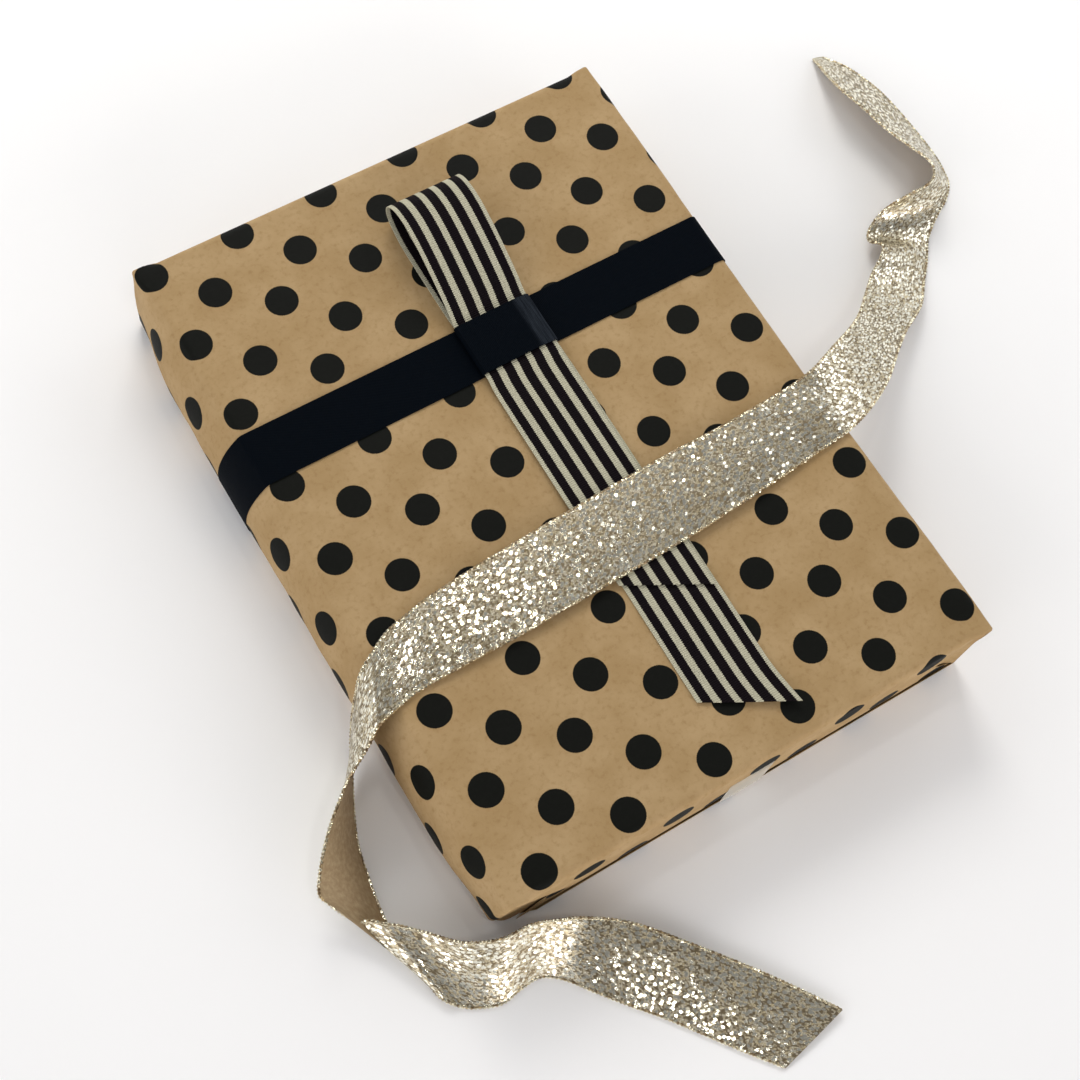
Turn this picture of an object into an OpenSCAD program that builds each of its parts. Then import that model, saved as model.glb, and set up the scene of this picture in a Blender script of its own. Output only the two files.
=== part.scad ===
// Wrapped gift parcel: a lidded box in dotted kraft paper, closed with a navy ribbon band
// that carries a striped ribbon bow, with a loose glitter ribbon laid across it.
// Millimetres, +Z up. The origin is the centre of the parcel's underside, +Y is its far end.

/* [Parcel] */
// Width of the wrapped parcel, across its top
parcel_w = 202; // [200:0.5:204]
// Length of the wrapped parcel
parcel_l = 278; // [277:0.5:280]
// Height of the wrapped parcel
parcel_h = 38; // [37.5:0.25:38]
// How far the loose paper swells out of the left wall
side_bulge = 7; // [6:0.5:8]
// Height of the fullest line of that swelling
bulge_z = 14; // [12:1:16]

/* [Paper] */
// Thickness that the kraft paper is built at
paper_t = 0.4; // [0.3:0.05:0.4]
// Overlap of the long seam on the underside
seam_overlap = 25; // [20:1:30]
// Depth of the outer end flaps, below the top crease
outer_flap_h = 27; // [24:1:28]
// Depth of the inner end flaps, above the bottom crease
inner_flap_h = 21; // [18:1:22]

/* [Box] */
// Width of the carton's lid
lid_w = 195; // [190:1:195]
// Length of the carton's lid
lid_l = 272; // [268:1:272]
// Thickness of the folding board
board_t = 0.8; // [0.6:0.1:1]

/* [Ribbons] */
// Width of the navy ribbon
navy_w = 22; // [20:0.5:23]
// Distance of the navy band's centre line from the middle of the parcel
band_y = 47.5; // [46:0.5:48]
// Width of the striped ribbon
striped_w = 31; // [29:0.5:32]
// Distance of the bow's centre line from the middle of the parcel
bow_x = 7.7; // [6:0.1:9]
// Distance of the bow's fold from the middle of the parcel
fold_y = 115.5; // [112:0.5:118]
// Height that the loop's upper layer stands above its lower one
loop_h = 15; // [12:0.5:15]
// Distance of the upper tail's left corner from the middle of the parcel
upper_tail_y = 58.5; // [56:0.5:60]
// Distance of the lower tail's left corner from the middle of the parcel
lower_tail_y = 109; // [106:0.5:112]
// Angle of the slanted cut across both tails
cut_angle = 28; // [20:1:30]

/* [Hidden] */
$fn = 96;

gap = 0.3;           // space between pieces that move on each other
ribbon_t = 0.4;      // thickness that the navy ribbon is built at
striped_t = 0.5;     // thickness of the ribbed striped ribbon
glitter_t = 0.5;     // thickness that the glitter ribbon is built at
lie = 0.6;           // height of a ribbon's middle where it lies on the table
tape_t = 0.15;       // thickness of the adhesive tapes
far = 400;           // reach of the cutting shapes

kraft = "#c3a073";
kraft_back = "#d0b48c";
board = "#e4ded2";
navy = "#0a0f1e";
ivory = "#d9d8c2";
champagne = "#c9bfa8";

// ---- cross-section of the wrapped parcel, in X and Z ----
corner_r = 3;        // radius of the top edges
foot_r = 2;          // radius of the bottom edges
corner_in = 4;       // the top left edge's centre, in from the nominal side
half_w = parcel_w / 2;
half_l = parcel_l / 2;
top_left = [corner_in - half_w, parcel_h - corner_r];
top_right = [half_w - corner_r, parcel_h - corner_r];
foot_right = [half_w - foot_r, foot_r];

// The bulge is one arc that meets the top and bottom edges' rounding smoothly.
bulge_reach = top_left[0] + half_w + side_bulge;
bulge_rise = top_left[1] - bulge_z;
bulge_r = (bulge_reach * bulge_reach - corner_r * corner_r + bulge_rise * bulge_rise)
          / (2 * (bulge_reach - corner_r));
bulge_c = [bulge_r - half_w - side_bulge, bulge_z];
foot_left = [bulge_c[0] - sqrt(pow(bulge_r - foot_r, 2) - pow(bulge_z - foot_r, 2)), foot_r];

// ---- heights ----
slide_near = 30;     // the underside is hollowed between these two, for the band's travel
slide_far = 100;
relief = 0.8;        // depth of that hollow
band_out = gap + ribbon_t;
band_base = 0.1;     // height of the band's underside
box_z = relief + 2 * paper_t + 0.2;
lid_top = parcel_h - paper_t - 0.1;
box_half_l = lid_l / 2;
lid_x = half_w - paper_t - 2 - lid_w / 2;
seam_x = 20;         // edge of the seam's outer layer

// ---- layers at each end, counted outwards from the box ----
layer = paper_t + gap;
tuck_y = box_half_l + 0.1;
inner_y = tuck_y + layer + paper_t;
outer_y = inner_y + layer + paper_t;
tube_end = tuck_y + paper_t;
flap_side = half_w - 2;

// ---- heights of the bow's layers ----
wrap_z = parcel_h + band_out + gap;
wrap_in = wrap_z + ribbon_t;
lower_in = wrap_in + 0.2;
upper_in = lower_in + striped_t + 0.4;
wrap_top_in = upper_in + striped_t + gap;
lower_lie = parcel_h + gap + 0.05;
upper_lie = lower_lie + striped_t + gap;
wrap_near = band_y - navy_w / 2;
wrap_far = band_y + navy_w / 2;
tail_hinge_y = -76.2;
loop_start = wrap_far + 1.1;
bow_left = bow_x - striped_w / 2;
cut_drop = striped_w * tan(cut_angle);

// ---------------------------------------------------------------- helpers

// Points along the arc about c, counter-clockwise from angle a0 to angle a1.
function arc(c, r, a0, a1, n) =
    [for (i = [0:n]) let (a = a0 + (a1 - a0) * i / n) c + r * [cos(a), sin(a)]];

// The parcel's cross-section, grown by d all round and cut off below base.
module section(d, base) {
    up = atan2(top_left[1] - bulge_z, top_left[0] - bulge_c[0]);
    down = 360 + atan2(foot_left[1] - bulge_z, foot_left[0] - bulge_c[0]);
    difference() {
        polygon(concat(arc(top_right, corner_r + d, 0, 90, 6),
                       arc(top_left, corner_r + d, 90, up, 4),
                       arc(bulge_c, bulge_r + d, up, down, 14),
                       arc(foot_left, foot_r + d, down, 270, 4),
                       arc(foot_right, foot_r + d, 270, 360, 5)));
        if (base + d > 0.01) translate([-far, base - far]) square([2 * far, far]);
    }
}

// Extrudes an X-Z outline along Y, from y0 to y1.
module along_y(y0, y1) {
    translate([0, y1, 0]) rotate([90, 0, 0]) linear_extrude(y1 - y0) children();
}

// Extrudes a Y-Z outline along X, from x0 to x1.
module along_x(x0, x1) {
    translate([x0, 0, 0]) rotate([90, 0, 90]) linear_extrude(x1 - x0) children();
}

module round_rect(w, h, r) {
    x = w / 2 - r;
    z = h / 2 - r;
    polygon(concat(arc([x, z], r, 0, 90, 4), arc([-x, z], r, 90, 180, 4),
                   arc([-x, -z], r, 180, 270, 4), arc([x, -z], r, 270, 360, 4)));
}

// ---------------------------------------------------------------- the box inside

module tray(w, l, z0, z1, floor_z) {
    difference() {
        translate([lid_x - w / 2, -l / 2, z0]) cube([w, l, z1 - z0]);
        translate([lid_x - w / 2 + board_t, -l / 2 + board_t, floor_z])
            cube([w - 2 * board_t, l - 2 * board_t, z1 - z0 + 1]);
    }
}

module box_base() {
    step_in = 2 * (board_t + gap);
    color(board)
        tray(lid_w - step_in, lid_l - step_in, box_z, lid_top - board_t - 0.5, box_z + board_t);
}

module box_lid() {
    lid_skirt = 34;
    color(board)
        difference() {
            translate([lid_x - lid_w / 2, -box_half_l, lid_top - lid_skirt])
                cube([lid_w, lid_l, lid_skirt]);
            translate([lid_x - lid_w / 2 + board_t, -box_half_l + board_t, lid_top - lid_skirt - 1])
                cube([lid_w - 2 * board_t, lid_l - 2 * board_t, lid_skirt + 1 - board_t]);
        }
}

// One tissue sheet lines the tray and folds back over itself under the lid.
module tissue_sheet() {
    clear = board_t + gap + board_t + 0.6;
    sheet_t = 0.5;
    w = lid_w - 2 * clear;
    l = lid_l - 2 * clear;
    z0 = box_z + board_t + 0.2;
    z1 = lid_top - board_t - 1.5;
    color("#f4f1ea")
        difference() {
            translate([lid_x - w / 2, -l / 2, z0]) cube([w, l, z1 - z0]);
            translate([lid_x - w / 2 + sheet_t, -l / 2 + sheet_t, z0 + sheet_t])
                cube([w - 2 * sheet_t, l - 2 * sheet_t, z1 - z0 - 2 * sheet_t]);
            translate([lid_x - 8, -l / 2 - 1, z1 - sheet_t - 0.1]) cube([0.4, l + 2, 1]);
        }
}

// ---------------------------------------------------------------- the wrapping paper

// The paper's tube round the box, hollowed below for the band, with its long seam.
module paper_wrap() {
    color(kraft) {
        difference() {
            union() {
                along_y(-tube_end, slide_near) section(0, 0);
                along_y(slide_near, slide_far) section(0, relief);
                along_y(slide_far, tube_end) section(0, 0);
            }
            along_y(-tube_end - 1, slide_near - paper_t) section(-paper_t, paper_t);
            along_y(slide_near - 1, slide_far + 1) section(-paper_t, relief + paper_t);
            along_y(slide_far + paper_t, tube_end + 1) section(-paper_t, paper_t);
            translate([seam_x, -tube_end - 1, -1]) cube([gap, 2 * tube_end + 2, relief + 1 + paper_t]);
        }
        seam_layer(-tube_end, slide_near - paper_t, 0);
        seam_layer(slide_near, slide_far, relief);
        seam_layer(slide_far + paper_t, tube_end, 0);
    }
}

// The seam's inner layer, raised by the tape's thickness over the outer one.
module seam_layer(y0, y1, z0) {
    rise = paper_t + tape_t;
    translate([seam_x - paper_t, y0, z0]) cube([paper_t, y1 - y0, rise + paper_t]);
    translate([seam_x - paper_t, y0, z0 + rise]) cube([seam_overlap, y1 - y0, paper_t]);
}

module seam_tape() {
    tape_w = 12;
    tape_l = 60;
    color("#eeeadd")
        for (y0 = [-120, -50])
            translate([seam_x + 6, y0, paper_t]) cube([tape_w, tape_l, tape_t]);
    color("#eeeadd")
        translate([seam_x + 6, slide_far + 4, paper_t]) cube([tape_w, 30, tape_t]);
}

// The paper of one side wall, folded in flat against the box's end.
module tuck(x0, x1) {
    color(kraft)
        along_y(-tuck_y - paper_t, -tuck_y)
            intersection() {
                section(-paper_t - 0.1, paper_t + 0.1);
                translate([x0, 0]) square([x1 - x0, far]);
            }
}

module left_tuck() { tuck(-far, -flap_side + outer_flap_h); }
module right_tuck() { tuck(flap_side - outer_flap_h, far); }

// A flap's outline with its crease on z = 0, pointing up, and its two slanted sides.
module flap_outline(h) {
    polygon([[-flap_side, 0], [flap_side, 0], [flap_side - h, h], [h - flap_side, h]]);
}

// The web of paper folded double behind each slanted side.
module flap_webs(h) {
    for (s = [-1, 1])
        polygon([[s * (flap_side - 1), 0], [s * (flap_side - h), 0], [s * (flap_side - h), h - 1]]);
}

module inner_flap() {
    color(kraft)
        translate([0, 0, paper_t]) {
            along_y(-inner_y - paper_t, -inner_y) flap_outline(inner_flap_h);
            along_y(-inner_y, -inner_y + paper_t) flap_webs(inner_flap_h);
        }
}

module outer_flap() {
    color(kraft)
        translate([0, 0, parcel_h - paper_t]) mirror([0, 0, 1]) {
            along_y(-outer_y - paper_t, -outer_y) flap_outline(outer_flap_h);
            along_y(-outer_y, -outer_y + paper_t) flap_webs(outer_flap_h);
        }
}

// Clear tape over the outer flap's edge, long enough to reach the inner flap.
module end_tape() {
    tape_w = 19;
    tape_h = 24;
    tip_z = parcel_h - paper_t - outer_flap_h;
    color("#e8e3d6")
        translate([-tape_w / 2, -outer_y - paper_t - tape_t, tip_z - tape_h / 2 + 3])
            cube([tape_w, tape_t, tape_h]);
}

module near_left_tuck() { left_tuck(); }
module near_right_tuck() { right_tuck(); }
module near_inner_flap() { inner_flap(); }
module near_outer_flap() { outer_flap(); }
module near_end_tape() { end_tape(); }
module far_left_tuck() { mirror([0, 1, 0]) left_tuck(); }
module far_right_tuck() { mirror([0, 1, 0]) right_tuck(); }
module far_inner_flap() { mirror([0, 1, 0]) inner_flap(); }
module far_outer_flap() { mirror([0, 1, 0]) outer_flap(); }
module far_end_tape() { mirror([0, 1, 0]) end_tape(); }

// ---------------------------------------------------------------- navy band and centre wrap

module navy_band() {
    color(navy)
        difference() {
            along_y(wrap_near, wrap_far) section(band_out, band_base);
            along_y(wrap_near - 1, wrap_far + 1) section(gap, band_base + ribbon_t);
        }
}

// Holds the band's two ends together on the underside.
module band_joint_tape() {
    color("#e8e3d6")
        translate([-70, band_y - 8, band_base + ribbon_t]) cube([24, 16, 0.1]);
}

// The short navy loop that gathers the striped ribbon.
module centre_wrap() {
    in_w = striped_w + 0.8;
    in_h = wrap_top_in - wrap_in;
    color(navy)
        along_y(wrap_near, wrap_far)
            translate([bow_x, wrap_in + in_h / 2])
                difference() {
                    round_rect(in_w + 2 * ribbon_t, in_h + 2 * ribbon_t, 0.8);
                    round_rect(in_w, in_h, 0.4);
                }
}

module glue_dot() {
    color("#f0efe6")
        translate([bow_x, band_y, parcel_h + band_out]) cylinder(r = 7, h = gap);
}

// ---------------------------------------------------------------- striped ribbon

// A ribbon layer that leaves the wrap at height z_in, comes down to z_lie and runs to y_end.
module layer_outline(z_in, z_lie, y_end) {
    polygon([[wrap_far - 0.5, z_in], [wrap_near - 1, z_in], [wrap_near - 10, z_lie], [y_end, z_lie],
             [y_end, z_lie + striped_t], [wrap_near - 10, z_lie + striped_t],
             [wrap_near - 1, z_in + striped_t], [wrap_far - 0.5, z_in + striped_t]]);
}

// Cuts away all that lies beyond a slanted end whose left corner is at -y_left.
module slanted_cut(y_left) {
    translate([0, 0, parcel_h - 1])
        linear_extrude(20)
            polygon([[bow_left, -y_left], [bow_left + striped_w, -y_left - cut_drop],
                     [bow_left + striped_w + 1, -y_left - cut_drop], [bow_left + striped_w + 1, -far],
                     [bow_left - 1, -far], [bow_left - 1, -y_left]]);
}

module striped_upper_tail() {
    color(ivory)
        difference() {
            along_x(bow_left, bow_left + striped_w)
                layer_outline(upper_in, upper_lie, -upper_tail_y - cut_drop - 1);
            slanted_cut(upper_tail_y);
        }
}

module striped_lower_tail() {
    color(ivory)
        along_x(bow_left, bow_left + striped_w)
            layer_outline(lower_in, lower_lie, tail_hinge_y + gap);
}

module striped_tail_end() {
    y_end = -lower_tail_y - cut_drop - 1;
    color(ivory)
        difference() {
            along_x(bow_left, bow_left + striped_w)
                translate([y_end, lower_lie])
                    square([tail_hinge_y - gap - y_end, striped_t]);
            slanted_cut(lower_tail_y);
        }
}

// The loop's middle line in Y and Z, as shares of its length and height: up from the wrap, over
// its rounded far end and back under itself.
loop_shares = [[0.15, 0.38], [0.44, 0.78], [0.69, 0.98], [0.87, 0.91], [0.975, 0.6],
               [0.965, 0.25], [0.84, 0.05], [0.65, 0], [0.14, 0]];

// A smooth curve through points, with n steps from each point to the next.
function smooth(p, n) =
    [for (i = [0:len(p) - 2], k = [0:n - 1])
        let (a = p[max(i - 1, 0)], b = p[i], c = p[i + 1], d = p[min(i + 2, len(p) - 1)], t = k / n)
        b + t / 2 * (c - a + t * (2 * a - 5 * b + 4 * c - d + t * (3 * (b - c) + d - a))),
     p[len(p) - 1]];

// The line moved sideways by d.
function beside(p, d) =
    [for (i = [0:len(p) - 1])
        let (v = p[min(i + 1, len(p) - 1)] - p[max(i - 1, 0)])
        p[i] + d * [-v[1], v[0]] / norm(v)];

function backwards(p) = [for (i = [len(p) - 1:-1:0]) p[i]];

module striped_loop() {
    base = lower_lie + striped_t / 2;
    reach = fold_y - striped_t / 2 - loop_start;
    line = smooth(concat([[loop_start, upper_in + striped_t / 2]],
                         [for (s = loop_shares) [loop_start + s[0] * reach, base + s[1] * loop_h]],
                         [[loop_start, lower_in + striped_t / 2]]), 4);
    color(ivory)
        along_x(bow_left, bow_left + striped_w)
            polygon(concat(beside(line, striped_t / 2), backwards(beside(line, -striped_t / 2))));
}

// ---------------------------------------------------------------- glitter ribbon

// Its two edges, station by station: from the pointed end behind the parcel's right side, over the
// parcel, down its left side, through one turn-over on the table, to the cut end in front.
glitter_edges = [
    [[209, 117, lie], [213, 116, lie]],
    [[202, 94, 14], [220, 106, lie]],
    [[205, 79, 15], [225, 92, lie]],
    [[207, 66, 16], [227, 79, lie]],
    [[209, 53, 19], [228, 62, lie]],
    [[211, 43, 21], [228, 51, lie]],
    [[210, 37, 21], [227, 44, lie]],
    [[206, 34, 19], [225, 37, lie]],
    [[196, 35, 15], [219, 31, lie]],
    [[187, 36, 9], [212, 27, lie]],
    [[179, 33, 5], [206, 23, lie]],
    [[175, 28, 6], [201, 19, lie]],
    [[176, 22, 11], [197, 14, lie]],
    [[171, 17, 13], [193, 9, lie]],
    [[163, 12, 13], [187, 3, 2]],
    [[154, 5, 16], [177, -7, 5]],
    [[142, -4, 24], [162, -15, 10]],
    [[131, -10, 31], [150, -23, 16]],
    [[118, -15, 36], [136, -33, 24]],
    [[105, -20, 39.2], [119, -42, 33]],
    [[94, -22, 39.2], [102, -48, 38.9]],
    [[80, -23, 39.5], [84, -50, 39]],
    [[57, -24, 40.3], [54, -53, 40.3]],
    [[34, -24, 40.3], [26, -55, 40.3]],
    [[3, -25, 40.3], [-3, -56, 40.3]],
    [[-38, -27, 40.3], [-42, -57, 40.3]],
    [[-68, -29, 39.5], [-74, -57, 39.5]],
    [[-80, -31, 39], [-89, -57, 39]],
    [[-89, -33, 38.8], [-100, -59, 38.9]],
    [[-97, -37, 38.6], [-108, -61, 37.5]],
    [[-104, -41, 36], [-113, -64, 34]],
    [[-108, -45, 30], [-117, -66, 31]],
    [[-111, -48, 20], [-121, -68, 29]],
    [[-115, -54, 9], [-126, -71, 28]],
    [[-119, -62, 3], [-131, -75, 28]],
    [[-125, -74, lie], [-137, -80, 26]],
    [[-130, -86, lie], [-143, -86, 24]],
    [[-133, -100, lie], [-149, -93, 19]],
    [[-135, -115, lie], [-152, -97, 14]],
    [[-134, -132, lie], [-154, -99, 10]],
    [[-133, -144, lie], [-154.5, -101, 8]],
    [[-132, -147, 2.4], [-152, -102, 7.5]],
    [[-129, -149, 2.4], [-143, -108, 8]],
    [[-126, -153, lie], [-135, -116, 9]],
    [[-122, -157, lie], [-126, -127, 11]],
    [[-114, -160, lie], [-117, -137, 15]],
    [[-106, -159, lie], [-106, -143, 20]],
    [[-98, -159, lie], [-95, -144, 20]],
    [[-91, -164, lie], [-84, -147, 14]],
    [[-84, -173, lie], [-74, -151, 9]],
    [[-76, -183, lie], [-61, -160, 6]],
    [[-66, -195, lie], [-46, -177, 4]],
    [[-51, -215, lie], [-28, -200, 3]],
    [[-40, -229, lie], [-12, -223, 2]]
];

function quad_normal(a, b) =
    let (n = cross(b[0] + b[1] - a[0] - a[1], a[1] - a[0] + b[1] - b[0])) n / norm(n);

function station_normal(s, i) =
    let (last = len(s) - 1,
         n = quad_normal(s[max(i - 1, 0)], s[max(i, 1)])
             + quad_normal(s[min(i, last - 1)], s[min(i + 1, last)]))
    n / norm(n);

module strip(s, t) {
    last = len(s) - 1;
    points = [for (i = [0:last])
                  let (n = station_normal(s, i) * t / 2)
                  each [s[i][0] - n, s[i][0] + n, s[i][1] + n, s[i][1] - n]];
    // Both faces are split along the same diagonal, so they stay parallel where the ribbon twists.
    sides = [for (i = [0:last - 1])
                 let (a = 4 * i, b = a + 4)
                 each [[a, a + 1, b + 1], [a, b + 1, b], [a + 1, a + 2, b + 2], [a + 1, b + 2, b + 1],
                       [a + 2, a + 3, b + 3], [a + 2, b + 3, b + 2], [a + 3, a, b + 3], [a, b, b + 3]]];
    polyhedron(points, concat([[3, 2, 1, 0]], sides,
                              [[4 * last, 4 * last + 1, 4 * last + 2, 4 * last + 3]]));
}

module glitter_ribbon() { color(champagne) strip(glitter_edges, glitter_t); }

box_base();
box_lid();
tissue_sheet();
paper_wrap();
near_left_tuck();
near_right_tuck();
near_inner_flap();
near_outer_flap();
far_left_tuck();
far_right_tuck();
far_inner_flap();
far_outer_flap();
seam_tape();
near_end_tape();
far_end_tape();
navy_band();
band_joint_tape();
centre_wrap();
glue_dot();
striped_upper_tail();
striped_lower_tail();
striped_tail_end();
striped_loop();
glitter_ribbon();
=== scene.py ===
"""Looks of the wrapped gift parcel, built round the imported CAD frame.

Shapes are worked out in millimetres, in the row frame, and scaled to metres as each mesh is made.
Every sheet of paper or ribbon is a thin closed shell whose UV map holds its flat, unfolded
coordinates in metres, so that a print or weave runs on across every fold.
"""

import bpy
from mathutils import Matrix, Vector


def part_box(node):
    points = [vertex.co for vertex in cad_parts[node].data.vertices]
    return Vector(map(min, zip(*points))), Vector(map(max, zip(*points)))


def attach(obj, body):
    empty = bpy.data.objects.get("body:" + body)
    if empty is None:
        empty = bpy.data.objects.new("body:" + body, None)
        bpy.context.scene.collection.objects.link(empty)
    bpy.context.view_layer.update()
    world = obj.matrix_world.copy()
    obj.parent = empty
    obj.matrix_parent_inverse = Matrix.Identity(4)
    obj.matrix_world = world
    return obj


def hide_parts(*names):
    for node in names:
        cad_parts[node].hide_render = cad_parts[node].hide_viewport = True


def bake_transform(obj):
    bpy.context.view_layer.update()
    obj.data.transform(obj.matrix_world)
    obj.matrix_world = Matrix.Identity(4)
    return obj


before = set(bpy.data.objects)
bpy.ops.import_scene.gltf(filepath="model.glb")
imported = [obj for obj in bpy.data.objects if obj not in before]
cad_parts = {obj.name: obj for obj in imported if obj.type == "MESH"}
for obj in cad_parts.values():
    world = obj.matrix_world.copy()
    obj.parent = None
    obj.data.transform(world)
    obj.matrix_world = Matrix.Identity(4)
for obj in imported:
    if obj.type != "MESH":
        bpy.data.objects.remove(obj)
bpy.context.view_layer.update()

import math

import bpy
import numpy as np
from mathutils import Euler, Vector, noise

MM = 0.001


def cad_box(node):
    """Lowest and highest corner of a CAD node, in millimetres."""
    return [np.array(corner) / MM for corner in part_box(node)]


# ------------------------------------------------------------------ sizes taken from the CAD

PAPER_LOW, PAPER_HIGH = cad_box("paper_wrap")
BAND_LOW, BAND_HIGH = cad_box("navy_band")
WRAP_LOW, WRAP_HIGH = cad_box("centre_wrap")
LOOP_LOW, LOOP_HIGH = cad_box("striped_loop")
UPPER_LOW, UPPER_HIGH = cad_box("striped_upper_tail")
LOWER_LOW, LOWER_HIGH = cad_box("striped_lower_tail")
OUTER_LOW = cad_box("near_outer_flap")[0]
INNER_HIGH = cad_box("near_inner_flap")[1]

TOP = PAPER_HIGH[2]
HALF_W = PAPER_HIGH[0]
SWELL = -PAPER_LOW[0] - HALF_W
END_Y = -OUTER_LOW[1]


def smoothstep(x):
    x = np.clip(x, 0.0, 1.0)
    return x * x * (3 - 2 * x)


def catmull(points, steps):
    """A smooth line through points, with that many steps from each point to the next."""
    p = np.asarray(points, float)
    p = np.concatenate([[2 * p[0] - p[1]], p, [2 * p[-1] - p[-2]]])
    out = []
    for a, b, c, d in zip(p, p[1:], p[2:], p[3:]):
        for k in range(steps):
            t = k / steps
            out.append(b + t / 2 * (c - a + t * (2 * a - 5 * b + 4 * c - d + t * (3 * (b - c) + d - a))))
    return np.array(out + [p[-2]])


def lengths(line):
    """Distance along a line at each of its points."""
    return np.concatenate([[0.0], np.cumsum(np.linalg.norm(np.diff(line, axis=0), axis=1))])


def along(line, distance):
    """Points of a line at those distances along it."""
    s = lengths(line)
    return np.stack([np.interp(distance, s, line[:, k]) for k in range(line.shape[1])], axis=-1)


# ------------------------------------------------------------------ meshes

def grid_normals(p):
    """Unit normals of a grid of points, row by row."""
    n = np.cross(np.gradient(p, axis=0), np.gradient(p, axis=1))
    return n / np.maximum(np.linalg.norm(n, axis=2, keepdims=True), 1e-9)


def shell_parts(p, uv, thick, flip=False):
    """Vertices, UVs, faces and material numbers of a thin closed shell round a grid of points.

    Material 0 is the front, 1 the back and 2 the cut edges.
    """
    m, n = p.shape[:2]
    side = grid_normals(p) * thick / 2 * (-1 if flip else 1)
    verts = np.concatenate([(p + side).reshape(-1, 3), (p - side).reshape(-1, 3)])
    uvs = np.concatenate([uv.reshape(-1, 2)] * 2)
    faces, kinds = [], []

    def at(i, j, back=False):
        return i * n + j + (m * n if back else 0)

    def put(quad, kind):
        faces.append(tuple(quad[::-1]) if flip else tuple(quad))
        kinds.append(kind)

    for i in range(m - 1):
        for j in range(n - 1):
            put([at(i, j), at(i + 1, j), at(i + 1, j + 1), at(i, j + 1)], 0)
            put([at(i, j + 1, True), at(i + 1, j + 1, True), at(i + 1, j, True), at(i, j, True)], 1)
        put([at(i, 0, True), at(i + 1, 0, True), at(i + 1, 0), at(i, 0)], 2)
        put([at(i, n - 1), at(i + 1, n - 1), at(i + 1, n - 1, True), at(i, n - 1, True)], 2)
    for j in range(n - 1):
        put([at(0, j, True), at(0, j), at(0, j + 1), at(0, j + 1, True)], 2)
        put([at(m - 1, j), at(m - 1, j, True), at(m - 1, j + 1, True), at(m - 1, j + 1)], 2)
    return verts, uvs, faces, kinds


def make_object(name, parts, materials):
    """One mesh object, in metres, from the parts that shell_parts and tube_parts return."""
    verts, uvs, faces, kinds, base = [], [], [], [], 0
    for v, t, f, k in parts:
        verts.append(v)
        uvs.append(t)
        faces += [tuple(i + base for i in face) for face in f]
        kinds += k
        base += len(v)
    verts, uvs = np.concatenate(verts) * MM, np.concatenate(uvs) * MM
    mesh = bpy.data.meshes.new(name)
    mesh.from_pydata([tuple(v) for v in verts], [], faces)
    layer = mesh.uv_layers.new(name="sheet")
    loops = np.zeros(len(mesh.loops), np.int32)
    mesh.loops.foreach_get("vertex_index", loops)
    layer.data.foreach_set("uv", uvs[loops].astype(np.float32).ravel())
    for material in materials:
        mesh.materials.append(material)
    mesh.polygons.foreach_set("material_index", [min(k, len(materials) - 1) for k in kinds])
    mesh.polygons.foreach_set("use_smooth", [True] * len(faces))
    mesh.set_sharp_from_angle(angle=math.radians(50))
    mesh.validate()
    mesh.update()
    obj = bpy.data.objects.new(name, mesh)
    bpy.context.scene.collection.objects.link(obj)
    return obj


def piece(name, parts, materials, body, replaces=()):
    """A finished piece of the parcel on its CAD body."""
    obj = make_object(name, parts, materials)
    if body:
        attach(obj, body)
    if replaces:
        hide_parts(*replaces)
    return obj


def tube_parts(line, radius, sides, kind):
    """A corded edge: a round tube along a line, with a radius at each point."""
    step = np.gradient(line, axis=0)
    step /= np.linalg.norm(step, axis=1, keepdims=True)
    ref = np.cross(step, [0.0, 0.0, 1.0])
    weak = np.linalg.norm(ref, axis=1) < 0.05
    ref[weak] = np.cross(step[weak], [1.0, 0.0, 0.0])
    ref /= np.linalg.norm(ref, axis=1, keepdims=True)
    other = np.cross(step, ref)
    turn = np.arange(sides) * 2 * math.pi / sides
    ring = (ref[:, None] * np.cos(turn)[None, :, None] + other[:, None] * np.sin(turn)[None, :, None])
    verts = (line[:, None] + ring * radius[:, None, None]).reshape(-1, 3)
    s = lengths(line)
    uv = np.stack([np.repeat(turn[None] * radius.mean(), len(line), 0), np.repeat(s[:, None], sides, 1)], -1)
    faces = []
    for i in range(len(line) - 1):
        for k in range(sides):
            a, b = i * sides + k, i * sides + (k + 1) % sides
            faces.append((a, b, b + sides, a + sides))
    faces.append(tuple(range(sides))[::-1])
    faces.append(tuple((len(line) - 1) * sides + k for k in range(sides)))
    return verts, uv.reshape(-1, 2), faces, [kind] * len(faces)


# ------------------------------------------------------------------ materials

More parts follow.
